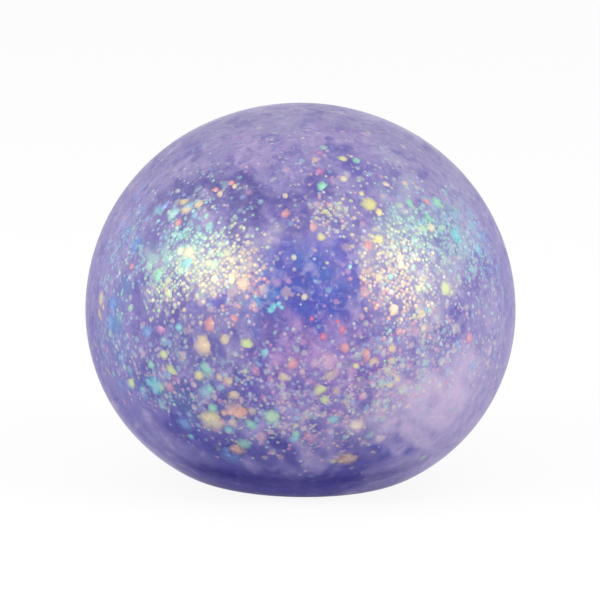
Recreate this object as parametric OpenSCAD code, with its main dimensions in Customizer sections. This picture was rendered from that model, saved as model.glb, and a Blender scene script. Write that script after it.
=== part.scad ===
// Squishy glitter ball: a soft rubber skin full of violet gel and iridescent flakes,
// sagging under its own weight on a flat floor. Millimetres, +Z up, origin at the
// middle of the flat that the ball rests on.

/* [Ball] */
// Width across the widest circle
ball_d = 100; // [84:1:130]
// How far the ball's weight flattens it below the widest circle
base_sag = 10.4; // [8:0.2:14]
// How far the ball's weight lowers the crown
crown_sag = 1.8; // [0.4:0.1:5]
// Diameter of the flat that rests on the floor
patch_d = 38; // [32:1:42]

/* [Skin] */
// Thickness of the rubber skin
skin_wall = 0.9; // [0.8:0.1:2]

/* [Fill mouth] */
// Diameter of the mouth that the gel is poured through
mouth_d = 8; // [6:0.5:9]
// Width of the thick collar moulded round the mouth, on each side
collar_wall = 5; // [4:0.5:6]
// How far the collar stands up inside the skin
collar_rise = 3; // [2:0.25:5]
// Chamfer where the collar leaves the skin
collar_chamfer = 1.2; // [0.5:0.1:1.8]

/* [Plug] */
// How far the plug's head reaches past the mouth, on each side
head_lip = 2.6; // [1.5:0.1:3.2]
// Thickness of the plug's head
head_t = 1; // [0.6:0.1:1.4]
// How far the head lies above the floor
head_inset = 0.3; // [0.2:0.05:0.6]
// How far the barb reaches past the mouth, on each side
barb_lip = 1.5; // [0.8:0.1:2]
// Height of the barb
barb_h = 2.6; // [1.5:0.1:4]
// Diameter of the barb's rounded nose
nose_d = 5; // [3:0.25:5.5]
// Thickness of the glue under the head
glue_t = 0.2; // [0.1:0.05:0.3]
// Gap between the plug and the rubber round it
plug_gap = 0.05; // [0.03:0.01:0.1]

/* [Glitter] */
// Width across the flats of a fine flake
fine_w = 0.7; // [0.5:0.05:0.9]
// Width across the flats of a medium flake
medium_w = 1.3; // [1:0.05:1.6]
// Width across the flats of a coarse flake
coarse_w = 2.4; // [1.8:0.1:3]
// Mean width of a torn shard of film
shard_w = 3.4; // [2.6:0.1:4]
// Thickness of the film that the flakes are cut from
flake_t = 0.08; // [0.05:0.01:0.1]
// Gap between the gel and the lowest flakes, and between layers of flakes
flake_gap = 0.1; // [0.08:0.01:0.14]

/* [Hidden] */
$fn = 96;

// The profile is four tangent arcs, each found by the angle of its outward normal from straight up
crown_span = 28;
shoulder_from = 150;
profile_step = 2;
ball_r = ball_d / 2;
patch_r = patch_d / 2;
equator_z = ball_r - base_sag;
crown_z = ball_d - base_sag - crown_sag;
crown_shift = crown_sag / (cos(crown_span) + sin(crown_span) - 1);
side_r = ball_r - crown_shift * sin(crown_span);
crown_r = side_r + crown_shift;
base_shift = (base_sag - patch_r) / (1 + cos(shoulder_from) - sin(shoulder_from));
shoulder_r = equator_z + base_shift * cos(shoulder_from);
flank_r = shoulder_r + base_shift;

// The clear film of gel between the skin and the coloured gel holds four layers of flakes
layers = 4;
layer_pitch = flake_t + flake_gap;
film_t = layers * layer_pitch + flake_gap;

// Heights and radii round the mouth
recess_z = head_inset + head_t + glue_t;
seat_z = skin_wall + collar_rise;
mouth_r = mouth_d / 2;
collar_r = mouth_r + collar_wall;
stem_r = mouth_r - plug_gap;
head_r = mouth_r + head_lip;
recess_r = head_r + plug_gap;
barb_r = mouth_r + barb_lip;
gel_inset = skin_wall + film_t;
gel_foot_r = patch_r - film_t;
well_r = collar_r + film_t;
well_z = seat_z + barb_h + film_t;

// Golden-angle lattices place the flakes: points over the whole ball, and a seed for each size
golden_angle = 180 * (3 - sqrt(5));
fine_sites = 2600;
medium_sites = 1000;
coarse_sites = 260;
shard_sites = 90;
fine_seed = 11;
medium_seed = 23;
coarse_seed = 37;
shard_seed = 41;
// Flakes inside this normal angle are under the crown, and go down when the ball is pressed
crown_edge = 32;
crown_margin = 3;
lowest_angle = 148;
// Dense patches of flakes: azimuth, normal angle, spread in degrees, and share of the sites filled
clusters = [
    [-111, 70, 15, 0.75], [-58, 73, 17, 0.75], [-114, 103, 20, 0.5], [-80, 108, 18, 0.4],
    [-62, 53, 14, 0.3], [-30, 92, 20, 0.35], [30, 78, 18, 0.6], [75, 105, 20, 0.5],
    [110, 70, 17, 0.6], [155, 95, 20, 0.5], [-160, 84, 18, 0.5], [-100, 30, 22, 0.3]];
loose_share = 0.06;

// The arc that holds a normal angle, as the centre's radius and height and the arc's radius
function arc_at(angle) =
    angle < crown_span ? [0, crown_z - crown_r, crown_r]
    : angle < 90 ? [ball_r - side_r, equator_z, side_r]
    : angle < shoulder_from ? [ball_r - flank_r, equator_z, flank_r]
    : [patch_r, shoulder_r, shoulder_r];

// The profile's point at a normal angle, moved inwards by an even inset
function profile_point(angle, inset) =
    let (arc = arc_at(angle), r = arc[2] - inset)
    [arc[0] + r * sin(angle), arc[1] + r * cos(angle)];

function profile(inset) =
    [for (angle = [0 : profile_step : 180]) profile_point(angle, inset)];

function reversed(list) = [for (i = [len(list) - 1 : -1 : 0]) list[i]];

// How likely a site at this azimuth and normal angle is to hold a flake
function falloff(c, azimuth, angle) =
    let (turn = cos(angle) * cos(c[1]) + sin(angle) * sin(c[1]) * cos(azimuth - c[0]))
    c[3] * exp(-pow(acos(min(1, turn)) / c[2], 2));
function fill_share(azimuth, angle) =
    loose_share + max([for (c = clusters) falloff(c, azimuth, angle)]);

// Puts a flat flake on the gel, facing outwards, in one of the layers counted from the gel
module seat_flake(azimuth, angle, layer, spin) {
    arc = arc_at(angle);
    lift = flake_gap + layer * layer_pitch;
    rotate([0, 0, azimuth])
        translate([arc[0], 0, arc[1]])
            rotate([0, angle, 0])
                translate([0, 0, arc[2] - gel_inset + lift])
                    rotate([0, 0, spin])
                        children();
}

// Fills the sites of one lattice between two normal angles
module scatter(sites, seed, layer, from, to) {
    luck = rands(0, 1, sites, seed);
    for (i = [0 : sites - 1]) {
        angle = acos(1 - 2 * (i + 0.5) / sites);
        azimuth = i * golden_angle;
        if (angle > from && angle < to && luck[i] < fill_share(azimuth, angle))
            seat_flake(azimuth, angle, layer, 360 * luck[i])
                children();
    }
}

module hex_flake(width) {
    cylinder(d = width / cos(30), h = flake_t, $fn = 6);
}

// A torn piece of film: six corners at uneven distances
module torn_flake(width) {
    reach = [0.62, 0.42, 0.55, 0.38, 0.6, 0.46];
    linear_extrude(height = flake_t)
        polygon([for (k = [0 : 5]) width * reach[k] * [cos(60 * k), sin(60 * k)]]);
}

module outer_skin() {
    mouth = [
        [recess_r, 0], [recess_r, recess_z], [mouth_r, recess_z], [mouth_r, seat_z],
        [collar_r - collar_chamfer, seat_z], [collar_r - collar_chamfer, skin_wall + collar_chamfer],
        [collar_r, skin_wall]];
    color("thistle", 0.45)
        rotate_extrude()
            polygon(concat(profile(0), mouth, reversed(profile(skin_wall))));
}

// Stepped stopper, from the head's edge up to the nose
module fill_plug() {
    head_top = head_inset + head_t;
    color("lavender")
        rotate_extrude()
            polygon([
                [0, head_inset], [head_r, head_inset], [head_r, head_top], [stem_r, head_top],
                [stem_r, seat_z], [barb_r, seat_z], [barb_r, seat_z + barb_h / 4],
                [nose_d / 2, seat_z + barb_h], [0, seat_z + barb_h]]);
}

module glue_ring() {
    color("ivory")
        translate([0, 0, head_inset + head_t])
            difference() {
                cylinder(r = head_r, h = glue_t);
                translate([0, 0, -glue_t])
                    cylinder(r = mouth_r, h = 3 * glue_t);
            }
}

// The gel stands on the skin's floor, with a well over the collar and the barb
module gel_filling() {
    foot = [
        [gel_foot_r, gel_inset], [gel_foot_r, skin_wall],
        [well_r, skin_wall], [well_r, well_z], [0, well_z]];
    color("mediumslateblue")
        rotate_extrude()
            polygon(concat(profile(gel_inset), foot));
}

module fine_glitter() {
    color("honeydew")
        scatter(fine_sites, fine_seed, 0, crown_edge + crown_margin, lowest_angle)
            hex_flake(fine_w);
}

module medium_glitter() {
    color("palegreen")
        scatter(medium_sites, medium_seed, 1, crown_edge + crown_margin, lowest_angle)
            hex_flake(medium_w);
}

module coarse_glitter() {
    color("khaki")
        scatter(coarse_sites, coarse_seed, 2, crown_edge + crown_margin, lowest_angle)
            hex_flake(coarse_w);
}

module film_shards() {
    color("lightsalmon")
        scatter(shard_sites, shard_seed, 3, crown_edge + crown_margin, lowest_angle)
            torn_flake(shard_w);
}

// All sizes together, under the crown alone
module crown_glitter() {
    color("lightcyan") {
        scatter(fine_sites, fine_seed, 0, 0, crown_edge)
            hex_flake(fine_w);
        scatter(medium_sites, medium_seed, 1, 0, crown_edge)
            hex_flake(medium_w);
        scatter(coarse_sites, coarse_seed, 2, 0, crown_edge)
            hex_flake(coarse_w);
    }
}

outer_skin();
fill_plug();
glue_ring();
gel_filling();
fine_glitter();
medium_glitter();
coarse_glitter();
film_shards();
crown_glitter();
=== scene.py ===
# %% [markdown]
# # A squishy glitter ball
# The ball is a clear, slightly milky rubber skin full of violet gel, with thousands of iridescent flakes
# floating in the clear film between the two. It sags on the floor under its own weight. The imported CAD
# model is the fixed frame: it gives the ball's size, and every piece below is fitted to it. Lengths are
# in metres, +Z is up, and the photograph looks along +Y.

# %% Load the frame
import math
from collections import namedtuple
from functools import partial

import bpy
import numpy as np
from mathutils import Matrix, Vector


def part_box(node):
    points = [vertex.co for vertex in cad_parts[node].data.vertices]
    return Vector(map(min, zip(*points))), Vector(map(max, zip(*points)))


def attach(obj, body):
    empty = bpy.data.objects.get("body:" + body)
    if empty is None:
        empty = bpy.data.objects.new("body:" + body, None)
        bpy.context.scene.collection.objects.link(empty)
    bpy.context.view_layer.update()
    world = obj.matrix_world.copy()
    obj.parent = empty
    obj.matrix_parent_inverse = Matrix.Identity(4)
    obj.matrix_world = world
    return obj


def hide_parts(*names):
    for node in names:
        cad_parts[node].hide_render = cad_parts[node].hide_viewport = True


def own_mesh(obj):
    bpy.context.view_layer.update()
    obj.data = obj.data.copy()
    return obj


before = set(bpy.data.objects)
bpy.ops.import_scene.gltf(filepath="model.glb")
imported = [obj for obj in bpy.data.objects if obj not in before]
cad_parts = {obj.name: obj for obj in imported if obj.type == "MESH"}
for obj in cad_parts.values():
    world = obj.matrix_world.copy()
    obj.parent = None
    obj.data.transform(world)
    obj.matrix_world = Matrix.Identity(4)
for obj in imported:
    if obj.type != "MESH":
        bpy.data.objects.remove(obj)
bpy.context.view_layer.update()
MM = 0.001

# %% [markdown]
# ## The sagged outline
# A ball full of gel isn't round: the underside spreads into a flat, and the crown sinks a little. The
# outline is four arcs that meet without a corner, so a point on it is found from the angle of its outward
# normal, measured from straight up. Shortening every arc's radius by the same amount gives an even wall,
# so the skin, the film and the gel all come from one function.

# %% Outline of the ball
skin_low, skin_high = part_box("outer_skin")
gel_low, gel_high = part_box("gel_filling")
ball_r = (skin_high[0] - skin_low[0]) / 2
ball_h = skin_high[2]
skin_wall = gel_low[2]
gel_inset = ball_h - gel_high[2]
film_t = gel_inset - skin_wall
base_sag = 10.4 * MM
patch_r = 19 * MM
crown_span = math.radians(28)
shoulder_from = math.radians(150)

equator_z = ball_r - base_sag
crown_sag = 2 * ball_r - base_sag - ball_h
crown_shift = crown_sag / (math.cos(crown_span) + math.sin(crown_span) - 1)
side_r = ball_r - crown_shift * math.sin(crown_span)
crown_r = side_r + crown_shift
base_shift = (base_sag - patch_r) / (1 + math.cos(shoulder_from) - math.sin(shoulder_from))
shoulder_r = equator_z + base_shift * math.cos(shoulder_from)
flank_r = shoulder_r + base_shift


def outline(angle, inset):
    """Radius and height of the outline at a normal angle, moved inwards by inset: the arc's centre plus
    its shortened radius along the normal."""
    spans = [angle < crown_span, angle < math.pi / 2, angle < shoulder_from]
    centre_r = np.select(spans, [0.0, ball_r - side_r, ball_r - flank_r], patch_r)
    centre_z = np.select(spans, [ball_h - crown_r, equator_z, equator_z], shoulder_r)
    arc_r = np.select(spans, [crown_r, side_r, flank_r], shoulder_r) - inset
    return centre_r + arc_r * np.sin(angle), centre_z + arc_r * np.cos(angle)


print(f"ball {2 * ball_r / MM:.1f} mm wide, {ball_h / MM:.1f} mm tall, wall {skin_wall / MM:.2f} mm")

# %% [markdown]
# ## Turning a profile
# Skin and gel are bodies of revolution, so both are one profile turned about the Z axis. The profile
# starts and ends on the axis. Those two points become single pole vertices and every other point becomes
# a ring, so the mesh closes without a seam.

# %% Mesh helpers


def new_piece(name, vertices, faces, material, smooth=True):
    """An object at the origin, from an array of places and a list of equal-sided face arrays."""
    mesh = bpy.data.meshes.new(name)
    corners = [corner for group in faces for corner in group.tolist()]
    mesh.from_pydata(vertices.tolist(), [], corners)
    mesh.polygons.foreach_set("use_smooth", np.full(len(corners), smooth))
    mesh.materials.append(material)
    mesh.update()
    piece = bpy.data.objects.new(name, mesh)
    bpy.context.collection.objects.link(piece)
    return piece


def turned(radius, height, around):
    """Vertices and faces of a profile turned about Z: x = r cos t, y = r sin t, z = h."""
    turn = np.linspace(0, 2 * math.pi, around, endpoint=False)
    ring_r, ring_z = radius[1:-1, None], height[1:-1, None]
    rings = np.stack([ring_r * np.cos(turn), ring_r * np.sin(turn), ring_z + 0 * turn], axis=-1)
    poles = np.array([[0, 0, height[0]], [0, 0, height[-1]]])
    vertices = np.vstack([rings.reshape(-1, 3), poles])
    count = len(ring_r)
    here = np.arange(count * around).reshape(count, around)
    beside = np.roll(here, -1, axis=1)
    quads = np.stack([here[:-1], here[1:], beside[1:], beside[:-1]], axis=-1).reshape(-1, 4)
    top = np.full(around, count * around)
    crown_fan = np.stack([top, here[0], beside[0]], axis=-1)
    foot_fan = np.stack([top + 1, beside[-1], here[-1]], axis=-1)
    return vertices, [quads, crown_fan, foot_fan]


print("mesh helpers: new_piece and turned")

# %% [markdown]
# ## Colours and shader nodes
# Colours are written as sRGB hex values, and one function turns them to the linear values that a shader
# needs.

# %% Colour and node helpers


def linear(hex_colour):
    """Linear RGBA of an sRGB hex colour: the power curve above 0.04045, a straight line below it."""
    share = np.array([int(hex_colour[i:i + 2], 16) for i in (1, 3, 5)]) / 255
    low, high = share / 12.92, ((share + 0.055) / 1.055) ** 2.4
    return (*np.where(share <= 0.04045, low, high).tolist(), 1.0)


def add_node(tree, kind, inputs=None, **settings):
    """One shader node: settings are its properties, and inputs its sockets, each a value, an output to
    link, or a node whose first output in use is linked."""
    node = tree.nodes.new("ShaderNode" + kind)
    for key, value in settings.items():
        setattr(node, key, value)
    for key, value in (inputs or {}).items():
        if isinstance(value, bpy.types.Node):
            value = next(output for output in value.outputs if output.enabled)
        if isinstance(value, bpy.types.NodeSocket):
            tree.links.new(value, node.inputs[key])
        else:
            node.inputs[key].default_value = value
    return node


def new_material(name, finish):
    """A material whose surface is the last node that the finish adds. The finish gets add_node with the
    material's tree filled in."""
    material = bpy.data.materials.new(name)
    material.use_nodes = True
    material.node_tree.nodes.clear()
    add = partial(add_node, material.node_tree)
    add("OutputMaterial", {"Surface": finish(add)})
    print("material:", name)
    return material


# Sockets of the Mix node when it mixes colours
MIX_A, MIX_B = 6, 7
print("sRGB mid grey is", round(linear("#808080")[0], 3), "in linear light")

# %% [markdown]
# ## Where the glitter lies
# Real flakes drift into dense patches as the gel flows. Each drift is a place on the ball, as degrees of
# azimuth and of normal angle, its spread to the east and to the south, and how many fine, medium and
# coarse flakes it holds. The last two values say how mixed its colours are and how clearly it shows
# through the skin. The list follows the photograph. The ball is alike all round, so the back repeats the
# front turned half round, with other flakes.

# %% Drifts of glitter
Drift = namedtuple("Drift", "azimuth angle east south fine medium coarse mixed clear")
front_drifts = [Drift(*row) for row in (
    (-131, 72, 3.5, 5, 280, 6, 0, 0.08, 0.80),
    (-128, 62, 4.5, 4, 130, 8, 1, 0.15, 0.65),
    (-124, 69, 7, 5, 420, 6, 0, 0.08, 0.80),
    (-113, 66, 6, 6, 380, 6, 0, 0.10, 0.80),
    (-110, 73, 5, 4, 150, 5, 0, 0.20, 0.80),
    (-130, 50, 7, 5, 40, 6, 1, 0.50, 0.70),
    (-59, 70, 4, 7, 520, 3, 0, 0.08, 0.80),
    (-67, 68, 4, 5, 210, 3, 0, 0.15, 0.80),
    (-57, 60, 4, 4, 220, 2, 0, 0.10, 0.82),
    (-43, 58, 6, 5, 230, 6, 1, 0.10, 0.66),
    (-47, 69, 7, 5, 200, 4, 0, 0.50, 0.40),
    (-82, 51, 4, 3, 110, 5, 0, 0.40, 0.90),
    (-20, 22, 14, 9, 50, 8, 1, 0.80, 0.60),
    (-165, 20, 14, 9, 50, 8, 1, 0.80, 0.60),
    (-64, 39, 13, 8, 130, 14, 0, 0.80, 0.74),
    (-116, 43, 14, 6, 120, 10, 0, 0.80, 0.50),
    (-120, 96, 14, 8, 300, 26, 6, 0.90, 0.36),
    (-120, 109, 12, 7, 165, 24, 6, 0.90, 0.38),
    (-142, 103, 8, 8, 90, 12, 4, 0.85, 0.42),
    (-94, 103, 12, 7, 290, 18, 3, 0.90, 0.52),
    (-86, 115, 11, 6, 260, 18, 2, 0.80, 0.44),
    (-57, 90, 9, 7, 640, 8, 0, 0.85, 0.50),
    (-68, 101, 8, 6, 310, 18, 1, 0.75, 0.52),
    (-90, 77, 9, 7, 50, 3, 0, 0.90, 0.60),
    (-32, 75, 8, 12, 80, 8, 1, 0.60, 0.50),
    (-155, 80, 6, 14, 24, 6, 1, 0.60, 0.40),
    (-94, 123, 15, 6, 160, 20, 3, 0.75, 0.34),
    (22, 66, 8, 9, 340, 20, 3, 0.20, 0.80),
    (20, 98, 12, 9, 320, 30, 5, 0.80, 0.35),
    (-202, 66, 8, 9, 340, 20, 3, 0.20, 0.80),
    (-200, 98, 12, 9, 320, 30, 5, 0.80, 0.35))]

# Each face of the ball: the sign of X and Y that turns the front to it, and its share of the flakes
ball_faces = [(-1, 0.8), (1, 1.0)]
# The loose flakes that lie all over the ball: how many of each size, how mixed and how clear
loose_counts = (600, 70, 8)
loose_mixed, loose_clear = 0.7, 0.45
row_mixed = np.array([drift.mixed for _ in ball_faces for drift in front_drifts] + [loose_mixed])
row_clear = np.array([drift.clear for _ in ball_faces for drift in front_drifts] + [loose_clear])
print(len(front_drifts), "drifts on each of", len(ball_faces), "faces of the ball")

# %% [markdown]
# ## Places on the ball
# A place is read off a picture as two angles, and worked with as a unit vector, the outward normal. A
# patch that is wider than it is tall also needs the steps east and south along the surface.

# %% Places on the ball


def direction(azimuth, angle):
    """Unit normals at azimuths and normal angles in radians."""
    flat = np.sin(angle)
    return np.stack([flat * np.cos(azimuth), flat * np.sin(azimuth), np.cos(angle)], axis=-1)


def compass(azimuth, angle):
    """The normal at one place given in degrees, and the unit steps east and south from it."""
    turn = math.radians(azimuth)
    middle = direction(turn, math.radians(angle))
    east = np.array([-math.sin(turn), math.cos(turn), 0.0])
    return middle, east, np.cross(east, middle)


print("the photograph looks at the normal", compass(-90, 90)[0].round(2).tolist())

# %% [markdown]
# ## Sites for the flakes
# Flakes settle side by side, and seldom lie on one another as places drawn by chance would. So each size
# has a lattice of even sites, set out like the seeds of a sunflower, and the drifts say how many flakes
# are due.

# %% Sites for the flakes
ball_degrees = 4 * math.pi * math.degrees(1) ** 2
golden_angle = math.pi * (3 - math.sqrt(5))
lattice_sites = (32000, 6000, 1500)
site_jitter = 0.2
rng = np.random.default_rng(20)


def lattice(sites):
    """Normals all over the ball: heights in even steps, each one golden angle on from the last, and each
    moved by a share of the spacing."""
    step = np.arange(sites) + 0.5
    normals = direction(step * golden_angle, np.arccos(1 - 2 * step / sites))
    normals += rng.normal(0, site_jitter * math.sqrt(4 * math.pi / sites), normals.shape)
    return normals / np.linalg.norm(normals, axis=1, keepdims=True)


def drift_bumps(normals, size):
    """Flakes of one size per square degree at an array of normals, one row for each drift on each face: a
    normal bump over the drift's spread. The last row is the loose flakes, which lie everywhere alike."""
    rows = []
    for side, thin in ball_faces:
        local = normals * np.array([side, side, 1])
        for drift in front_drifts:
            middle, east, south = compass(drift.azimuth, drift.angle)
            reach = ((local @ east / math.radians(drift.east)) ** 2
                     + (local @ south / math.radians(drift.south)) ** 2)
            count = thin * (drift.fine, drift.medium, drift.coarse)[size]
            peak = count / (2 * math.pi * drift.east * drift.south)
            rows.append(peak * np.exp(-reach / 2) * (local @ middle > 0))
    rows.append(np.full(len(normals), loose_counts[size] / ball_degrees))
    return np.array(rows)


print("sites for fine, medium and coarse flakes:", *lattice_sites)

# %% [markdown]
# ## A wandering step
# Gel that was stirred once keeps long, smooth swirls. A sum of sines along fixed random directions
# wanders in the same way, and it can be worked out at any place, so the flakes and the pigment share it.

# %% Wandering step
stir_size = 24 * MM
stir_waves, stir_octaves, stir_fall, stir_push = 6, 4, 0.6, 0.5
wave_rng = np.random.default_rng(5)
wave_runs = wave_rng.normal(0, 1, (stir_octaves, 3, stir_waves))
wave_runs /= np.linalg.norm(wave_runs, axis=1, keepdims=True)
wave_phases = wave_rng.uniform(0, 2 * math.pi, (stir_octaves, stir_waves))
wave_pushes = wave_rng.normal(0, stir_push, (stir_octaves, stir_waves, 3))


def wander(places):
    """Smooth steps of about 1 along each axis: sums of sines along fixed random directions, in octaves
    that each have half the length and 0.6 of the height of the one before."""
    steps = np.zeros_like(places)
    for octave in range(stir_octaves):
        along = wave_runs[octave] * 2 * math.pi * 2 ** octave / stir_size
        steps += stir_fall ** octave * np.sin(places @ along + wave_phases[octave]) @ wave_pushes[octave]
    return steps


def smooth_rise(share):
    """0 below 0, 1 above 1 and the smooth cubic 3s^2 - 2s^3 between."""
    share = np.clip(share, 0, 1)
    return share * share * (3 - 2 * share)


print("the longest swirls are", round(stir_size / MM), "mm long")

# %% [markdown]
# ## Strings and clumps
# The gel carries the flakes along its swirls, so they lie in strings and clumps with gaps between. A
# wandering share thins them in that way, less so in the gleaming drifts.

# %% Strings and clumps
clump_zoom, clump_contrast = 3.0, 0.4
clump_middle, clump_gleam = 0.5, 0.2
swing_least, swing_mixed = 0.4, 0.6


def clumping(normals, mixed):
    """The share of the flakes that stay: a middle share, more of it in the gleaming drifts, which are the
    least mixed, plus a wandering part that swings less in those."""
    drift = wander(clump_zoom * ball_r * normals)[:, 0]
    swing = clump_contrast * (swing_least + swing_mixed * mixed)
    return smooth_rise(clump_middle + clump_gleam * (1 - mixed) + swing * drift)


print("the clumps are about", round(stir_size / clump_zoom / MM), "mm apart")

# %% [markdown]
# ## Flake colours
# The film is clear polyester with a coating a few hundred nanometres thick, so its colour runs from coral
# through yellow and mint to blue as it is seen more from the side. A flake takes its place in that run
# from how far out to the side and how high it lies. In the mixed drifts it may lie anywhere in the run,
# and leans to mint at the sides. In the gleaming drifts, where the lamps reflect, the film is pushed
# towards cream, a painted highlight, and deep in the milky skin it fades to a pale grey. A few flakes are
# painted dark, as painted shade for flakes that catch no light.

# %% Colours of the flakes
film_run = ["#ff8aa6", "#ffa6a4", "#fdc4a2", "#fbdea6", "#faecaa", "#e6f4a8", "#b6f0b4", "#92ecc0",
            "#84e4d0", "#80d0ea", "#7ca8f0"]
film_colours = np.array([linear(colour)[:3] for colour in film_run])
# The cream is a painted highlight and the dark a painted shade; the pale is the skin's veil
highlight_film, pale_film, dark_film = (
    np.array(linear(colour)[:3]) for colour in ("#fff8dc", "#e4e9e4", "#4a43a0"))
run_start, run_side, run_lean, run_up, run_wander = -0.42, 1.08, 0.05, 1.04, 0.08
wild_shape, wild_side, wild_middle = (2.8, 2.2), 0.8, 0.35
highlight_most = 0.15
pale_shares, pale_range, pale_rest = (0.7, 0.2, 0.0), (0.6, 1), 0.25
dark_share, dark_least, dark_range = 0.02, 0.3, (0.7, 1.6)


def run_place(normals):
    """Place in the film's run of colours, from how far out to the side and how high a normal points."""
    return run_start + run_side * np.abs(normals[:, 0] - run_lean) + run_up * normals[:, 2]


def flake_colours(normals, mixed, clear, pale_share):
    """Linear colours: a place in the run plus a random part, then a painted cream highlight, paled, or
    painted dark as shade.
    """
    count = len(normals)
    place = run_place(normals) + rng.normal(0, run_wander, count)
    wild = rng.beta(*wild_shape, count) + wild_side * (np.abs(normals[:, 0] - run_lean) - wild_middle)
    place = np.where(rng.random(count) < mixed, wild, place)
    stops = np.linspace(0, 1, len(film_colours))
    colours = np.stack([np.interp(place, stops, film_colours[:, k]) for k in range(3)], axis=-1)
    # Painted highlight: the least mixed, clearest flakes, where the lamps reflect, are pushed towards
    # cream
    cream = highlight_most * (1 - mixed) * clear
    colours += (highlight_film - colours) * cream[:, None]
    paled = rng.random(count) < pale_share * mixed
    fade = np.where(paled, rng.uniform(*pale_range, count), pale_rest * mixed)
    colours += (pale_film - colours) * fade[:, None]
    # Painted shade: a few flakes are made dark, as a flake turned away from the light looks
    dark = rng.random(count) < dark_share * (dark_least + mixed)
    return np.where(dark[:, None], dark_film * rng.uniform(*dark_range, (count, 1)), colours)


print(len(film_run), "colours in the film's run")

# %% [markdown]
# ## Filling the drifts
# Each site now goes to one drift, which fills it or leaves it empty, so a drift fills up but doesn't pile
# up. Each flake shows through the skin a little more or less clearly than its drift does.

# %% Flakes of each size
Flakes = namedtuple("Flakes", "normals colours mixed clear")
clear_spread, clear_least = 0.2, 0.05


def drifted(size):
    """All the flakes of one size. Each site belongs to one drift, picked by the drifts' bumps there, and
    holds a flake with the chance 1 - exp(-flakes due)."""
    sites = lattice(lattice_sites[size])
    bumps = drift_bumps(sites, size)
    total = bumps.sum(axis=0)
    owner = (np.cumsum(bumps, axis=0) < rng.random(len(sites)) * total).sum(axis=0)
    due = total * ball_degrees / len(sites) * clumping(sites, row_mixed[owner])
    filled = rng.random(len(sites)) < 1 - np.exp(-due)
    normals, mixed, clear = sites[filled], row_mixed[owner[filled]], row_clear[owner[filled]]
    colours = flake_colours(normals, mixed, clear, pale_shares[size])
    return Flakes(normals, colours, mixed, np.clip(rng.normal(clear, clear_spread), clear_least, 1))


fine, medium, coarse = (drifted(size) for size in range(3))
print("fine, medium and coarse flakes:", *(len(flakes.normals) for flakes in (fine, medium, coarse)))

# %% [markdown]
# ## Gel clouds
# The gel is a water-based slime tinted with violet and blue pigment that never quite mixed, so it shows
# clouds. Each cloud is a place, its reach east and south in millimetres, a colour, a strength and how
# mottled it is, set from the photograph. They are laid one over the other in the order of the
# list, much as the colours were poured.

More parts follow.
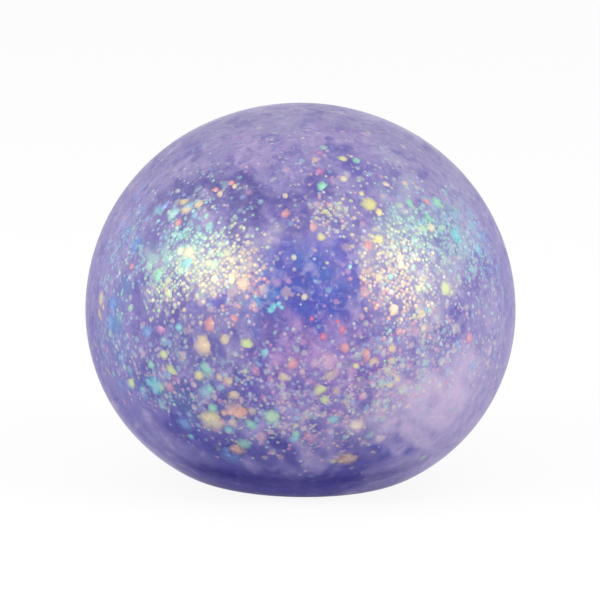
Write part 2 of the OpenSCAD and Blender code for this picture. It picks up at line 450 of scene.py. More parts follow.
# %% Clouds of pigment, and pale clouds of painted sheen
gel_ground = "#948cbe"
Cloud = namedtuple("Cloud", "azimuth angle east south colour strength mottling", defaults=[1.0])
gel_clouds = [Cloud(*row) for row in (
    (-99, 5, 36, 36, "#9e98bc", 0.9),
    (-152, 52, 20, 20, "#a09ac0", 0.85),
    (-22, 52, 20, 18, "#b2b2ca", 0.8),
    (-158, 100, 18, 26, "#7a7bb6", 0.9),
    (-119, 43, 22, 9, "#403d88", 0.95),
    (-133, 47, 10, 7, "#4c5c92", 0.55),
    (-99, 46, 10, 7, "#4c489c", 0.8),
    (-62, 41, 13, 8, "#7a66b6", 0.7),
    (-87, 72, 14, 14, "#4a68c0", 0.8, 1.4),
    (-80, 71, 10, 13, "#4456ba", 0.75, 1.4),
    (-94, 77, 13, 9, "#3a72c2", 0.92, 1.3),
    (-82, 79, 10, 8, "#3c48b4", 0.8),
    (-83, 61, 9, 8, "#7672cc", 0.7),
    # The next four pale clouds, under the two gleaming drifts, are painted sheen where the lamps reflect
    (-114, 68, 15, 9, "#c2bec8", 0.9, 0.7),
    (-131, 70, 11, 9, "#a8c8c2", 0.8, 0.7),
    (-60, 67, 10, 12, "#c6bec8", 0.85, 0.7),
    (-41, 59, 13, 10, "#a4c6ca", 0.8, 0.8),
    (-121, 81, 6, 5, "#5560cc", 0.85),
    (-134, 83, 15, 7, "#7c72b6", 0.7),
    (-151, 88, 8, 12, "#5290c2", 0.85),
    (-124, 106, 24, 16, "#3d4499", 0.95),
    (-146, 112, 13, 16, "#5e62b2", 0.85),
    (-80, 94, 18, 11, "#a682c6", 0.9, 1.4),
    (-94, 104, 17, 13, "#7462b4", 0.7, 1.6),
    (-97, 79, 11, 6, "#4672c6", 0.8, 1.2),
    (-98, 77, 6, 4, "#48aed2", 0.8),
    (-46, 110, 20, 18, "#cabad4", 0.95, 0.25),
    (-12, 100, 14, 30, "#a49ac6", 0.9, 0.45),
    (-22, 126, 17, 11, "#b6a8ce", 0.85, 0.3),
    (-55, 90, 12, 9, "#928ec4", 0.7),
    (-47, 79, 11, 6, "#6a5cb4", 0.75),
    (-22, 68, 10, 14, "#7c80c4", 0.6),
    (-67, 130, 12, 5, "#3e42a4", 0.8, 0.3),
    (-57, 130, 9, 4.5, "#4244a6", 0.75, 0.3),
    (-84, 131, 12, 5, "#504eaa", 0.75, 0.3),
    (-73.5, 131, 5.5, 4, "#a48a9e", 0.8, 0.3),
    (-120, 128, 18, 10, "#484aac", 0.85, 0.5),
    (-118, 22, 12, 7, "#b4a0cc", 0.7),
    (-122, 29, 10, 6, "#b296c8", 0.7),
    (-45, 29, 9, 6, "#a68cc2", 0.6),
    (-80, 24, 12, 6, "#9884c0", 0.6),
    (-95, 15, 5, 4, "#5c60b4", 0.8),
    (-132, 28, 3, 3, "#6462b0", 0.7),
    (-103, 28, 4, 3, "#524eac", 0.8),
    (-95, 34, 4, 3, "#4c4aac", 0.8),
    (-74, 29, 5, 4, "#5450b0", 0.8),
    (-72, 42, 6, 4, "#5048ac", 0.8),
    (-102, 79, 4, 5, "#a8b4d8", 0.8),
    (-99, 104, 8, 6, "#5248ac", 0.8, 1.3),
    (-109, 102, 6, 5, "#4a44ac", 0.7, 1.3),
    (-62, 105, 8, 6, "#6660b2", 0.85, 1.3),
    (-128, 108, 10, 8, "#4a7aa4", 0.6),
    (-91, 116, 8, 5, "#b2aada", 0.75),
    (-75, 108, 6, 5, "#a692ce", 0.6),
    (-82, 94, 7, 5, "#d0a6cc", 0.7))]
print(len(gel_clouds), "clouds on each face of the gel")

# %% [markdown]
# ## Laying the clouds
# The clouds are far larger than the mesh's faces, so they are worked out once for each vertex and kept as
# an attribute. Each place is first moved by the wandering step, which stirs the clouds' edges. Last comes
# a dark bed near the floor, stronger at the left and middle: painted shade for the ball's shaded
# underside.

# %% Colours of the clouds
cloud_core, cloud_edge = 0.1, 1.15
stir_reach = 4.5 * MM
# The dark bed near the floor is painted shade: its colour, the heights it fades between, its tilt,
# strength, mottling and the stretch across X it covers
painted_shade_colour = "#222290"
shade_high, shade_low = 20 * MM, 10 * MM
shade_tilt, shade_strength, shade_mottling = 0.04, 0.88, 0.25
shade_middle, shade_side, shade_fade = -4 * MM, 36 * MM, 18 * MM
axis_guard = 1e-6


def cloud_colours(places):
    """Linear colours of the gel at an array of places, with its mottling as a fourth value: cloud on
    cloud, then a dark bed of painted shade near the floor."""
    stirred = places + stir_reach * wander(places)
    colours = np.tile([*linear(gel_ground)[:3], 1.0], (len(places), 1))
    for side, _ in ball_faces:
        local = stirred * np.array([side, side, 1])
        for cloud in gel_clouds:
            middle, east, south = compass(cloud.azimuth, cloud.angle)
            radius, height = outline(np.array(math.radians(cloud.angle)), gel_inset)
            flat = middle[:2] / max(math.hypot(*middle[:2]), axis_guard) * float(radius)
            away = local - np.array([*flat, float(height)])
            reach = np.sqrt((away @ east / cloud.east) ** 2 + (away @ south / cloud.south) ** 2
                            + (away @ middle / max(cloud.east, cloud.south)) ** 2) / MM
            share = cloud.strength * smooth_rise((cloud_edge - reach) / (cloud_edge - cloud_core))
            colours += (np.array([*linear(cloud.colour)[:3], cloud.mottling]) - colours) * share[:, None]
    # Painted shade: the gel is darkened towards the floor, more so at the left and middle
    level = stirred[:, 2] + shade_tilt * stirred[:, 0]
    shaded = shade_strength * smooth_rise((shade_high - level) / (shade_high - shade_low))
    shaded *= smooth_rise((shade_side - np.abs(stirred[:, 0] - shade_middle)) / shade_fade)
    bed = np.array([*linear(painted_shade_colour)[:3], shade_mottling])
    return colours + (bed - colours) * shaded[:, None]


def glitter_field(normals):
    """How dense the fine glitter is, how mixed its colours are, and its place in the run, at an array of
    normals."""
    bumps = drift_bumps(normals, 0)
    total = bumps.sum(axis=0)
    place = np.clip(run_place(normals), 0, 1)
    dense = 2 * math.pi * (total - bumps[-1])
    return np.stack([dense, row_mixed @ bumps / total, place, np.ones(len(normals))], axis=-1)


def store_colours(piece, name, colours):
    """Keep four values on each vertex as a colour attribute."""
    piece.data.attributes.new(name, "FLOAT_COLOR", "POINT").data.foreach_set("color", colours.ravel())


print("the dark bed lies below", round(shade_high / MM), "mm")

# %% [markdown]
# ## Mottling
# Up close the clouds break up, because pigment flocks together. Six noises from about 1 to 7 mm, laid one
# over the other, give that mottling. Its strength comes from the cloud, so the pale parts and the painted
# shade near the floor stay smooth.

# %% Mottling
# Each mottle: its size in mm, its colour, the noise value that it starts at, and its strength
gel_mottles = [
    (7.0, "#4c459e", 0.51, 0.55), (3.0, "#4c479e", 0.53, 0.45), (2.2, "#8c6cb8", 0.53, 0.35),
    (4.0, "#cebfdc", 0.54, 0.45), (1.2, "#5a4da6", 0.52, 0.4), (0.9, "#c2b6d6", 0.54, 0.35)]
mottle_edge = 0.16


def mottled_cloud(add, place):
    """The cloud's colour, broken up by one noise on another, each as strong as the cloud's fourth value
    says. That value's output comes too."""
    cloud = add("Attribute", attribute_name="gel_cloud")
    colour = cloud.outputs["Color"]
    for size, hex_colour, start, strength in gel_mottles:
        mottle = add("TexNoise", {"Vector": place, "Scale": 1 / (size * MM), "Detail": 3.0,
                                  "Roughness": 0.55, "Distortion": 0.6})
        most = add("Math", {0: cloud.outputs["Alpha"], 1: strength}, operation="MULTIPLY")
        share = add("MapRange", {"Value": mottle, "From Min": start, "From Max": start + mottle_edge,
                                 "To Min": 0.0, "To Max": most})
        colour = add("Mix", {0: share, MIX_A: colour, MIX_B: linear(hex_colour)}, data_type="RGBA")
    return colour, cloud.outputs["Alpha"]


print(len(gel_mottles), "noises mottle the gel")

# %% [markdown]
# ## Spots and deep flakes
# Some pigment stays in dark specks, and flakes deep in the gel show as soft dots. A cell pattern cut by
# the surface gives both: a cell's centre shows as a dot where it lies close to the surface, so the dots
# come in all sizes by themselves. Chance leaves most cells empty.

# %% Spots and deep flakes
spot_cell, spot_reach, spot_core, spot_share, spot_strength = 5.2, 0.3, 0.4, 0.3, 0.5
spot_colour = "#4246a4"
# Each layer of deep flakes: its cells in mm, a dot's reach and strength, and how many cells hold one
deep_flakes = [(1.3, 0.42, 0.5, 0.22), (2.2, 0.40, 0.45, 0.18), (4.2, 0.36, 0.4, 0.12)]
deep_core = 0.5
veil_share, veil_colour = 0.35, "#d8d4ee"


def cell_dots(add, place, cell, reach, core, strength):
    """Soft dots, one to each cell of a size in mm: a dot's share, from its strength in the core to 0 at
    its reach, and the cell's random values."""
    cells = add("TexVoronoi", {"Vector": place, "Scale": 1 / (cell * MM)})
    dot = add("MapRange",
              {"Value": cells.outputs["Distance"], "From Min": reach, "From Max": reach * core,
               "To Min": 0.0, "To Max": strength}, interpolation_type="SMOOTHSTEP")
    chance = add("SeparateColor", {0: cells.outputs["Color"]})
    return dot, chance.outputs


def spotted(add, place, colour, mottling):
    """A colour with dark specks over it, as strong as the mottling there."""
    dot, chance = cell_dots(add, place, spot_cell, spot_reach, spot_core, spot_strength)
    there = add("Math", {0: chance["Red"], 1: spot_share}, operation="LESS_THAN")
    share = add("Math", {0: dot, 1: there}, operation="MULTIPLY")
    share = add("Math", {0: share, 1: mottling}, operation="MULTIPLY")
    return add("Mix", {0: share, MIX_A: colour, MIX_B: linear(spot_colour)}, data_type="RGBA")


def gel_look(add, place):
    """The gel's colour: mottled clouds, dark specks, and the deep flakes layer on layer. Chance places a
    flake, and says whether its colour comes from its place in the film's run or from anywhere in it."""
    colour = spotted(add, place, *mottled_cloud(add, place))
    field = add("SeparateColor", {0: add("Attribute", attribute_name="glitter_field")})
    density, mixed, run = (field.outputs[k] for k in range(3))
    for cell, reach, strength, amount in deep_flakes:
        dot, chance = cell_dots(add, place, cell, reach, deep_core, strength)
        enough = add("Math", {0: density, 1: amount}, operation="MULTIPLY")
        there = add("Math", {0: chance["Green"], 1: enough}, operation="LESS_THAN")
        share = add("Math", {0: dot, 1: there}, operation="MULTIPLY")
        wild = add("Math", {0: chance["Blue"], 1: mixed}, operation="LESS_THAN")
        hue = add("Mix", {0: wild, 2: run, 3: chance["Red"]})
        ramp = add("ValToRGB", {0: hue})
        stops = ramp.color_ramp.elements
        stops[0].color = linear(film_run[0])
        stops[1].color = linear(film_run[-1])
        for i, film in enumerate(film_run[1:-1], start=1):
            stops.new(i / (len(film_run) - 1)).color = linear(film)
        veiled = add("Mix", {0: veil_share, MIX_A: ramp, MIX_B: linear(veil_colour)}, data_type="RGBA")
        colour = add("Mix", {0: share, MIX_A: colour, MIX_B: veiled}, data_type="RGBA")
    return colour


print(len(deep_flakes), "layers of deep flakes")

# %% [markdown]
# ## Milky rubber
# The skin is thermoplastic rubber, dusted so that it isn't sticky: clear enough to see through, milky
# enough to soften what lies under it, and dull where light strikes it. It is drawn as a mix of plain
# see-through and a dull surface with the gel's own look, because light scattered in the rubber has the
# gel's colours. Seen edge on, light crosses more of the skin, so the surface's share grows there, and the
# sheen of the dust makes the edge pale. Near the floor the surface takes over fully, so the gel's painted
# shade shows on the skin's foot.

# %% Milky rubber
gel_share = 0.9
# Between these heights the skin's surface takes over, to carry the gel's painted shade near the floor
shaded_foot_high, shaded_foot_low = 8 * MM, 2 * MM


def milky_rubber(add):
    """A faint, cloudy haze over what lies below, with a pale dusty edge and painted shade at the foot."""
    place = add("TexCoord").outputs["Object"]
    cloud_size = 16 * MM
    clouds = add("TexNoise", {"Vector": place, "Scale": 1 / cloud_size, "Detail": 3.0, "Roughness": 0.55})
    haze = add("MapRange", {"Value": clouds, "From Min": 0.35, "From Max": 0.7,
                            "To Min": 0.03, "To Max": 0.10})
    edge = add("LayerWeight", {"Blend": 0.5})
    outside = add("Attribute", attribute_name="outer_wall").outputs["Fac"]
    rim = add("MapRange",
              {"Value": edge.outputs["Facing"], "From Min": 0.60, "From Max": 0.78,
               "To Min": 0.0, "To Max": outside}, interpolation_type="SMOOTHSTEP")
    height = add("SeparateXYZ", {0: place})
    # Painted shade: near the floor the skin shows the gel's dark look fully
    shaded_foot = add("MapRange",
                {"Value": height.outputs["Z"], "From Min": shaded_foot_high, "From Max": shaded_foot_low},
                interpolation_type="SMOOTHSTEP")
    share = add("Math", {0: haze, 1: rim}, operation="ADD")
    share = add("Math", {0: share, 1: shaded_foot}, operation="ADD", use_clamp=True)
    tint = add("Mix", {0: gel_share, MIX_A: linear("#a096ca"), MIX_B: gel_look(add, place)},
               data_type="RGBA")
    grain_size = 0.8 * MM
    grain = add("TexNoise", {"Vector": place, "Scale": 1 / grain_size, "Detail": 2.0})
    bump = add("Bump", {"Height": grain, "Strength": 0.08, "Distance": 0.1 * MM})
    surface = add("BsdfPrincipled", {
        "Base Color": tint, "Roughness": 0.58, "IOR": 1.49, "Specular IOR Level": 0.02, "Normal": bump,
        "Sheen Weight": 0.65, "Sheen Roughness": 0.25, "Sheen Tint": linear("#f4f0fa")})
    clear = add("BsdfTransparent", {"Color": linear("#fdfcff")})
    return add("MixShader", {0: share, 1: clear, 2: surface})


skin_material = new_material("milky_thermoplastic_rubber", milky_rubber)

# %% [markdown]
# ## Skin
# The skin's profile runs down the outside, across the flat, through the mouth at the hidden base, and
# back up the inside, so it is one closed shell with a real wall. It keeps the gel's clouds and glitter
# too, for its edge. Light passes through it, so it casts no shadow on what it holds.

# %% Skin shell
profile_points = 150
around = 320
angles = np.linspace(0, math.pi, profile_points)
mouth_r, recess_r, collar_r = 4 * MM, 6.65 * MM, 9 * MM
recess_z, seat_z = 1.5 * MM, skin_wall + 3 * MM
collar_chamfer = 1.2 * MM
rim_glitter = 0.35
mouth_points = np.array([
    (recess_r, 0), (recess_r, recess_z), (mouth_r, recess_z), (mouth_r, seat_z),
    (collar_r - collar_chamfer, seat_z), (collar_r - collar_chamfer, skin_wall + collar_chamfer),
    (collar_r, skin_wall)])
outer = np.stack(outline(angles, 0.0), axis=-1)
inner = np.stack(outline(angles[::-1], skin_wall), axis=-1)
skin_profile = np.vstack([outer, mouth_points, inner])
skin = new_piece("skin_shell", *turned(skin_profile[:, 0], skin_profile[:, 1], around), skin_material)
tint_angles = np.r_[angles, np.full(len(mouth_points), math.pi), angles[::-1]]
tint_places = turned(*outline(tint_angles, gel_inset), around)[0]
store_colours(skin, "gel_cloud", cloud_colours(tint_places))
tint_turns = np.linspace(0, 2 * math.pi, around, endpoint=False)
tint_normals = direction(tint_turns, tint_angles[1:-1, None] + 0 * tint_turns).reshape(-1, 3)
tint_normals = np.vstack([tint_normals, [(0, 0, 1), (0, 0, 1)]])
store_colours(skin, "glitter_field", glitter_field(tint_normals) * [rim_glitter, 1, 1, 1])
on_outside = np.arange(len(skin_profile)) < profile_points
outer_wall = np.r_[np.repeat(on_outside[1:-1], around), True, False].astype(float)
skin.data.attributes.new("outer_wall", "FLOAT", "POINT").data.foreach_set("value", outer_wall)
skin.visible_shadow = False
skin.visible_diffuse = False
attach(skin, "base")
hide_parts("outer_skin")
print("skin:", len(skin.data.polygons), "faces")

# %% [markdown]
# ## Pigmented gel
# The gel sets to a firm, wet jelly, so all it adds to the look made above is a soft shine.

# %% Pigmented gel


def pigmented_gel(add):
    """Clouds, specks and deep flakes under a soft wet shine."""
    place = add("TexCoord").outputs["Object"]
    return add("BsdfPrincipled", {"Base Color": gel_look(add, place), "Roughness": 0.42, "IOR": 1.45,
                                  "Specular IOR Level": 0.8})


gel_material = new_material("pigmented_water_gel", pigmented_gel)

# %% [markdown]
# ## Gel
# The gel's profile follows the outline under the film and has a well over the mouth's collar. Its clouds
# and its share of deep flakes are worked out from where each vertex lies.

# %% Gel body
gel_points, gel_around = 190, 400
gel_angles = np.linspace(0, math.pi, gel_points)
plug_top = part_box("fill_plug")[1][2]
well_r, well_z = collar_r + film_t, plug_top + film_t
foot_r = patch_r - film_t
gel_outer = np.stack(outline(gel_angles, gel_inset), axis=-1)
gel_foot = np.array([
    (foot_r, gel_inset), (foot_r, skin_wall), (well_r, skin_wall), (well_r, well_z), (0, well_z)])
gel_profile = np.vstack([gel_outer, gel_foot])
gel_vertices, gel_faces = turned(gel_profile[:, 0], gel_profile[:, 1], gel_around)
gel = new_piece("gel_body", gel_vertices, gel_faces, gel_material)
outward = np.zeros(len(gel_vertices) * 3)
gel.data.vertices.foreach_get("normal", outward)
store_colours(gel, "gel_cloud", cloud_colours(gel_vertices))
store_colours(gel, "glitter_field", glitter_field(outward.reshape(-1, 3)))
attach(gel, "base")
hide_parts("gel_filling")
print("gel:", len(gel.data.polygons), "faces")

# %% [markdown]
# ## Coated film
# The flakes are cut from coated polyester film. They are thin and flat, so they flash when a lamp's
# reflection finds them, and keep a soft pastel otherwise. Each flake carries its own colour as an
# attribute, whose alpha fades from core to rim because the milky skin softens its edge. Film so thin
# hardly shades the gel, so it casts no shadow.

# %% Coated film


def coated_film(add):
    """A half metallic pastel that fades out at the flake's rim."""
    own = add("Attribute", attribute_name="flake_colour")
    surface = add("BsdfPrincipled", {"Base Color": own.outputs["Color"], "Metallic": 0.38,
                                     "Roughness": 0.44, "IOR": 1.6})
    clear = add("BsdfTransparent")
    return add("MixShader", {0: own.outputs["Alpha"], 1: clear, 2: surface})


film_material = new_material("iridescent_polyester_film", coated_film)

# %% [markdown]
# ## Flakes
# A flake is a thin hexagon, drawn as a lens with a flat top: a centre, an inner ring at the core's edge,
# an outer ring at half its thickness, and one point below. All flakes of one size are made at once, each
# in its own plane, which leans a little from the gel's surface.

# %% Flake builder
crown_edge = math.radians(32)
lowest_angle = math.radians(150)
flake_t = 0.12 * MM
flake_lean = math.radians(5)
highest_rise = 0.02 * MM
hex_turn = np.arange(6) * math.pi / 3
# A flake's corners: the centre is first, then come the inner ring, the outer ring and the point below
inner_ring, outer_ring, low_point, flake_corners = 1, 7, 13, 14
halo, core_least, core_growth, core_highlight = 1.7, 0.25, 0.45, 0.3
alpha_least, alpha_growth = 0.12, 0.76


def flake_meshes(normals, width, clear, reach):
    """Hexagonal lenses: centre on the gel's outline at each normal plus a small rise, corners at the half
    width along two tangents. The core's share of the width grows with clear, and reach scales single
    corners."""
    count = len(normals)
    angle = np.arccos(np.clip(normals[:, 2], -1, 1))
    turn = np.arctan2(normals[:, 1], normals[:, 0])
    rise = highest_rise * rng.uniform(-1, 1, count)
    radius, height = outline(angle, gel_inset - rise)
    centre = np.stack([radius * np.cos(turn), radius * np.sin(turn), height], axis=-1)
    east = np.stack([-np.sin(turn), np.cos(turn), 0 * turn], axis=-1)
    south = np.cross(east, normals)
    tilt = rng.normal(0, flake_lean, (count, 2)) * clear[:, None]
    facing = normals + tilt[:, :1] * east + tilt[:, 1:] * south
    facing /= np.linalg.norm(facing, axis=1, keepdims=True)
    first = np.cross(facing, south)
    first /= np.linalg.norm(first, axis=1, keepdims=True)
    second = np.cross(facing, first)
    spin = rng.uniform(0, 2 * math.pi, (count, 1)) + hex_turn
    half = halo * (width / 2)[:, None] * reach
    flat = ((half * np.cos(spin))[..., None] * first[:, None]
            + (half * np.sin(spin))[..., None] * second[:, None])
    lift = facing * flake_t / 2
    core = ((core_least + core_growth * clear) / halo)[:, None, None]
    top, low = centre + lift, centre - lift
    rings = [top[:, None], top[:, None] + core * flat, centre[:, None] + flat, low[:, None]]
    start = np.arange(count)[:, None, None] * flake_corners
    ring = np.arange(6)
    after = (ring + 1) % 6
    inside, outside = inner_ring + np.stack([ring, after]), outer_ring + np.stack([ring, after])
    crown = np.stack([0 * ring, *inside], axis=-1)
    brim = np.stack([inside[0], *outside, inside[1]], axis=-1)
    below = np.stack([low_point + 0 * ring, outside[1], outside[0]], axis=-1)
    faces = [(start + group).reshape(-1, group.shape[1]) for group in (crown, brim, below)]
    return np.concatenate(rings, axis=1).reshape(-1, 3), faces


def flake_piece(name, normals, colours, width, clear, reach=1.0, corner_shift=0.3):
    """One object of flakes. Each corner has its flake's colour, shifted a little towards another flake's,
    and all but the outer ring have its alpha. The centre is pushed towards cream, a painted highlight."""
    vertices, faces = flake_meshes(normals, width, clear, reach)
    piece = new_piece(name, vertices, faces, film_material, smooth=False)
    inside = np.r_[np.ones(outer_ring), np.zeros(low_point - outer_ring), 1]
    alpha = np.outer(alpha_least + alpha_growth * clear, inside).reshape(-1, 1)
    lean_to = np.repeat(colours[rng.permutation(len(colours))], flake_corners, axis=0)
    shift = rng.uniform(0, corner_shift, (len(vertices), 1))
    rgb = np.repeat(colours, flake_corners, axis=0) * (1 - shift) + lean_to * shift
    # Painted highlight: each flake's centre is pushed towards cream, more so the clearer it is
    rgb += (highlight_film - rgb) * np.outer(core_highlight * clear, np.eye(1, flake_corners)).reshape(-1, 1)
    rgba = np.concatenate([rgb, alpha], axis=1)
    store_colours(piece, "flake_colour", rgba)
    piece.visible_shadow = False
    piece.visible_diffuse = False
    print(name + ":", len(normals), "flakes")
    return piece


print("each flake has", flake_corners, "corners")

# %% [markdown]
# ## Flakes by size
# Each size is one piece that rides the base. The flakes under the crown, of all sizes, are one more
# piece, because they go down with the crown. Flakes in the gleaming drifts are a little wider.

# %% Flakes by size
# Each size: its name, its flakes, and their least and greatest width in mm
sizes = [("fine", fine, 0.35, 0.78), ("medium", medium, 1.1, 1.7), ("coarse", coarse, 1.9, 2.8)]
lobe_growth = 0.2 * MM
size_pieces = []
crown_parts = []
for size, flakes, narrow, wide in sizes:
    angle = np.arccos(flakes.normals[:, 2])
    widths = rng.uniform(narrow, wide, len(angle)) * MM + lobe_growth * (1 - flakes.mixed)
    flank = (angle > crown_edge) & (angle < lowest_angle)
    crown = angle <= crown_edge
    columns = (flakes.normals, flakes.colours, widths, flakes.clear)
    piece = flake_piece(size + "_flakes", *(column[flank] for column in columns))
    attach(piece, "base")
    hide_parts(size + "_glitter")
    size_pieces.append(piece)
    crown_parts.append([column[crown] for column in columns])
crown_piece = flake_piece("crown_flakes", *(np.concatenate(part) for part in zip(*crown_parts)))
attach(crown_piece, "crown")
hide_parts("crown_glitter")

# %% [markdown]
# ## Torn flakes
# The boldest pieces of film are larger, and many are torn. They are placed one by one where the
# photograph shows them, each as an azimuth, a normal angle and a width in millimetres, listed under their
# colour.

# %% Places of the torn flakes
torn_film = {
    "#ffe9b6": [(-132, 52, 2.4), (-128, 50, 1.9), (-64, 79, 2.0), (-121, 46, 1.5), (-117, 43, 1.2),
        (-96, 45, 1.3), (-46, 42, 1.3), (-159, 86, 1.2)],
    "#ffe6b2": [(-116, 90, 3.9)],
    "#f6f0b6": [(-116, 116, 4.6)],
    "#f4dea6": [(-135, 50, 2.0), (-110, 88, 2.1), (-112, 100, 1.5), (-109, 101, 1.7), (-108, 105, 1.9),
        (-94, 98, 2.0), (-85, 103, 1.6), (-70, 94, 1.9), (-65, 102, 1.6), (-161, 84, 2.8),
        (-162, 89, 2.8), (-65, 90, 1.6), (-65, 94, 1.5), (-63, 100, 1.5)],
    "#f8aa9c": [(-133, 57, 1.8), (-114, 84, 2.6), (-108, 82, 1.6), (-70, 61, 1.7), (-41, 49, 1.5),
        (-38, 90, 1.9), (-156, 117, 1.8), (-78, 89, 1.9), (-72, 91, 1.7), (-92, 94, 2.1), (-146, 72, 1.4),
        (-96, 51, 1.7), (-119, 42, 1.3), (-124, 45, 1.1)],
    "#f4748a": [(-79, 84, 1.5), (-84, 86, 1.4), (-80, 82, 0.9), (-87, 81, 0.9)],
    "#d08ab8": [(-102, 97, 2.2), (-130, 87, 1.8), (-86, 121, 2.1), (-81, 28, 1.4), (-83, 36, 1.8)],
    # These three pale peach flakes are painted near white: a painted glint where a lamp's reflection
    # falls on the blob
    "#fff0d2": [(-73, 116, 2.9), (-73.2, 115.8, 2.2), (-73, 116, 1.2)],
    "#ffc8a6": [(-108, 112, 4.4), (-106, 111, 2.0), (-110, 127, 3.2)],
    "#e0b6d2": [(-83, 93, 3.2), (-81, 92, 1.6), (-86, 94, 1.5)],
    "#ffdcb8": [(-74, 131, 4.6), (-72.6, 130, 3.2)],
    "#fcf3c0": [(-110, 71, 2.0), (-60, 67, 1.6), (-68, 70, 1.9), (-45, 57, 1.9), (-115, 71, 1.4),
        (-89, 75, 1.2), (-92, 64, 1.2), (-73, 39, 1.4)],
    "#ffdcb4": [(-106, 72, 2.3), (-125, 65, 2.2)],
    "#fffa92": [(-66, 48, 2.8), (-65.8, 48.2, 2.2), (-63, 51, 1.7), (-67.5, 44.5, 1.0), (-66, 59, 1.9),
        (-70, 31, 1.6), (-118, 100, 1.9), (-84, 58, 1.4), (-75, 95, 1.2)],
    "#e8ff9c": [(-104, 89, 2.3), (-132, 106, 1.9), (-129, 95, 1.8), (-82, 50, 1.3), (-84, 102, 2.0),
        (-83, 106, 1.9), (-127, 100, 2.5), (-145, 107, 2.6), (-46, 75, 2.4)],
    "#9cf0c2": [(-133, 73, 2.6), (-36, 50, 2.4), (-28, 53, 2.1), (-44, 54, 1.9), (-49, 49, 2.1),
        (-115, 104, 1.7), (-134, 99, 1.8), (-115, 97, 2.8), (-115, 111, 2.0), (-104, 116, 2.1),
        (-107, 124, 2.8), (-91, 119, 1.9), (-82, 42, 2.1), (-63, 32, 1.7), (-64, 70, 1.2)],
    "#80e2e2": [(-124, 68, 2.1), (-97, 78, 1.4), (-96, 77, 1.1), (-98, 79, 1.2), (-95, 78, 0.9),
        (-35, 61, 3.2), (-134, 106, 3.9), (-80, 113, 1.9), (-124, 86, 1.4), (-99, 91, 1.8),
        (-111, 119, 1.9), (-91, 121, 1.9), (-126, 124, 1.7), (-140, 109, 1.6)],
    "#74a8e2": [(-18, 64, 2.8), (-152, 84, 3.6), (-153, 89, 3.2), (-147, 66, 3.2), (-153, 110, 2.8),
        (-135, 89, 2.6), (-113, 131, 5.0), (-126, 119, 3.4), (-43, 91, 1.7)]}
torn_rows = np.array([row for rows in torn_film.values() for row in rows], float)
torn_colours = np.array([linear(colour)[:3] for colour, rows in torn_film.items() for _ in rows])
print(len(torn_rows), "torn flakes on each face of the ball")

# %% [markdown]
# ## Crumpled and torn
# The widest pieces are crumpled, so each is one soft patch with small bits scattered on it. Low on the
# ball they all lie deeper in the milky skin, so they are veiled and show less clearly there.

# %% Torn flakes
blob_width, blob_bits, bit_spread, bit_sizes = 2.9, 6, 0.2, (0.25, 0.5)
# How veiled and how clear the film is at normal angles in degrees
torn_veils = ([70, 95], [0.0, 0.1])
torn_depths = ([86, 96, 117, 130], [1.0, 0.84, 0.84, 0.42])
torn_veil_colour = np.array(linear("#d8d0e4")[:3])
plain_width, wide_fade, torn_least = 2, 0.06, 0.1
torn_reaches, torn_shift = (0.9, 1.08), 0.06
bits = np.where(torn_rows[:, 2] > blob_width, blob_bits, 1)
order = np.concatenate([np.arange(count) for count in bits])
torn_rows, torn_colours = (np.repeat(values, bits, axis=0) for values in (torn_rows, torn_colours))
scattered = (order > 0)[:, None] * torn_rows[:, 2:] * rng.normal(0, bit_spread, (len(order), 2))
torn_rows[:, :2] += np.degrees(scattered * MM / ball_r)
torn_rows[:, 2] *= np.where(order > 0, rng.uniform(*bit_sizes, len(order)), 1)
torn_normals = direction(np.radians(torn_rows[:, 0]), np.radians(torn_rows[:, 1]))
torn_veil = np.interp(torn_rows[:, 1], *torn_veils)[:, None]
torn_colours += (torn_veil_colour - torn_colours) * torn_veil
torn_depth = np.interp(torn_rows[:, 1], *torn_depths)
torn_clear = np.clip(torn_depth - wide_fade * (torn_rows[:, 2] - plain_width), torn_least, 1)
torn_reach = rng.uniform(*torn_reaches, (len(torn_rows), 6))
all_normals = np.concatenate([torn_normals * np.array([side, side, 1]) for side, _ in ball_faces])
columns = (torn_colours, torn_rows[:, 2] * MM, torn_clear, torn_reach)
repeated = [np.concatenate([column] * len(ball_faces)) for column in columns]
torn_piece = flake_piece("torn_flakes", all_normals, *repeated, corner_shift=torn_shift)
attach(torn_piece, "base")
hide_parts("film_shards")

# %% [markdown]
# ## Plug and glue
# The plug is the same rubber as the skin without the see-through, and the glue is a clear cured ring.
# Both are hidden under the ball, and keep their CAD shapes.

# %% Plug and glue


def satin_rubber(add):
    """Lavender rubber, satin where it is clean and dull where dust lies on it."""
    place = add("TexCoord").outputs["Object"]
    dust_size = 1.5 * MM
    dust = add("TexNoise", {"Vector": place, "Scale": 1 / dust_size, "Detail": 4.0})
    colour = add("Mix", {0: dust, MIX_A: linear("#8f82bc"), MIX_B: linear("#b9aedb")}, data_type="RGBA")
    rough = add("MapRange", {"Value": dust, "To Min": 0.4, "To Max": 0.65})
    return add("BsdfPrincipled", {"Base Color": colour, "Roughness": rough, "IOR": 1.49})


def cured_glue(add):
    """Ivory glue, cloudy with fine bubbles and shiny."""
    place = add("TexCoord").outputs["Object"]
    bubble_size = 0.9 * MM
    bubbles = add("TexNoise", {"Vector": place, "Scale": 1 / bubble_size})
    colour = add("Mix", {0: bubbles, MIX_A: linear("#d8d2be"), MIX_B: linear("#f0ecdf")},
                 data_type="RGBA")
    return add("BsdfPrincipled", {"Base Color": colour, "Roughness": 0.18, "IOR": 1.5})


for node_name, material_name, finish in (
        ("fill_plug", "satin_thermoplastic_rubber", satin_rubber),
        ("glue_ring", "cured_clear_adhesive", cured_glue)):
    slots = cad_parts[node_name].data.materials
    slots.clear()
    slots.append(new_material(material_name, finish))

# %% [markdown]
# ## Pressing
# When a palm presses the ball, skin, gel and flakes flatten together, and the crown goes down by the
# joint's full travel. Here each piece, what rides the base and what rides the crown, only gets a mesh of
# its own.

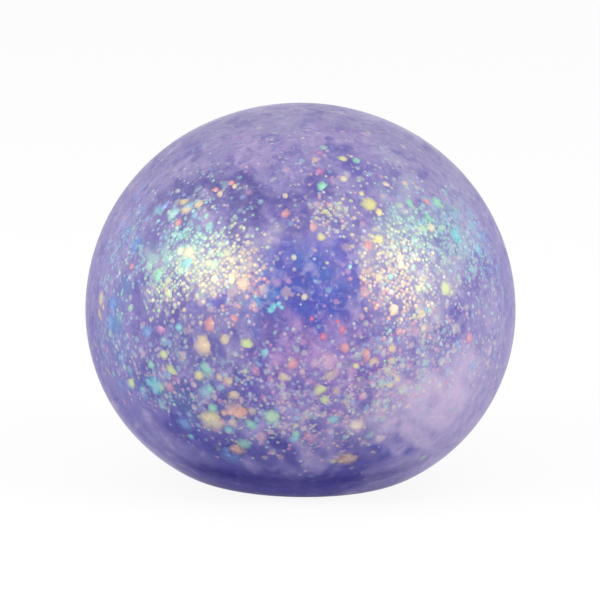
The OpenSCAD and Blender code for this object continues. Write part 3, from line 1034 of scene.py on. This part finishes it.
# %% Own meshes
for piece in (skin, gel, torn_piece, *size_pieces):
    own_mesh(piece)
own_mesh(crown_piece)

# %% [markdown]
# ## Stage
# The ball stands on a plain pale floor in an even white surround. Floor and sky look white to the camera
# and in gloss and glass only, so the white adds no other light.

# %% Floor and world
white = linear("#ffffff")
floor_share, floor_glow = 0.85, 1.04
fill_strength, shown_strength = 0.58, 1.0
floor_half, floor_gap = 4.0, 0.02 * MM


def seen_rays(add):
    """1 for the rays that show the background: the camera's, and those of gloss and glass."""
    path = add("LightPath")
    share = path.outputs["Is Camera Ray"]
    for ray in ("Is Glossy Ray", "Is Transmission Ray"):
        share = add("Math", {0: share, 1: path.outputs[ray]}, operation="MAXIMUM")
    return share


def pale_floor(add):
    """Matt and nearly white, with a soft shadow left under the ball."""
    matt = add("BsdfDiffuse", {"Color": linear("#f4f4f4")})
    glow = add("Emission", {"Color": white, "Strength": floor_glow})
    pale = add("MixShader", {0: floor_share, 1: matt, 2: glow})
    return add("MixShader", {0: seen_rays(add), 1: matt, 2: pale})


corner = np.array([(-1, -1, 0), (1, -1, 0), (1, 1, 0), (-1, 1, 0)]) * floor_half - [0, 0, floor_gap]
floor_material = new_material("pale_studio_floor", pale_floor)
floor = new_piece("studio_floor", corner, [np.array([[0, 1, 2, 3]])], floor_material, smooth=False)

world = bpy.data.worlds.new("studio_world")
bpy.context.scene.world = world
world.use_nodes = True
world.node_tree.nodes.clear()
add = partial(add_node, world.node_tree)
fill = add("Background", {"Color": white, "Strength": fill_strength})
shown = add("Background", {"Color": white, "Strength": shown_strength})
sky = add("MixShader", {0: seen_rays(add), 1: fill, 2: shown})
add("OutputWorld", {"Surface": sky})
print("floor and world are set")

# %% [markdown]
# ## Lamps
# Two large soft lamps, one on each side, put their reflections on the two gleaming patches of flakes.

# %% Lamps
# Each lamp: its name, where it lies from the ball, its width and height in metres, and its power in watts
lamps = [
    ("left_softbox", (-0.74, -0.42, 0.52), 0.75, 0.42, 4.0),
    ("right_softbox", (0.83, -0.34, 0.44), 0.55, 0.55, 4.0)]
lamp_distance = 1.0
middle = np.array([0, 0, ball_h / 2])
for name, towards, width, height, power in lamps:
    data = bpy.data.lights.new(name, "AREA")
    data.shape = "ELLIPSE"
    data.size = width
    data.size_y = height
    data.energy = power
    lamp = bpy.data.objects.new(name, data)
    bpy.context.collection.objects.link(lamp)
    place = middle + np.array(towards) * lamp_distance
    lamp.location = place
    back = Vector(place - middle)
    lamp.rotation_euler = back.to_track_quat("Z", "Y").to_euler()
print(len(lamps), "lamps")

# %% [markdown]
# ## Camera
# The photograph looks a little down on the ball, through a long lens. The lens follows from how many
# pixels of the picture a millimetre takes.

# %% Camera
camera_rise = math.radians(10.6)
camera_distance = 0.9
pixels_per_mm = 4.298
image_side = 600
aim_drop, aim_left = 1.9 * MM, 0.15 * MM
camera_roll = math.radians(1.0)
aim = np.array([-aim_left, 0, ball_h / 2 - aim_drop])
view = np.array([0, -math.cos(camera_rise), math.sin(camera_rise)])
camera_data = bpy.data.cameras.new("camera")
camera_data.sensor_width = 36
camera_data.lens = pixels_per_mm / MM * camera_distance / image_side * camera_data.sensor_width
camera = bpy.data.objects.new("camera", camera_data)
bpy.context.collection.objects.link(camera)
camera.location = aim + view * camera_distance
turned_to = Vector(view).to_track_quat("Z", "Y")
camera.rotation_euler = (turned_to @ Matrix.Rotation(camera_roll, 4, "Z").to_quaternion()).to_euler()
bpy.context.scene.camera = camera
print(f"camera lens {camera_data.lens:.0f} mm at {camera_distance} m")

# %% [markdown]
# ## Finish
# The standard view shows colours as they were picked.

# %% Finish
bpy.context.scene.view_settings.view_transform = "Standard"
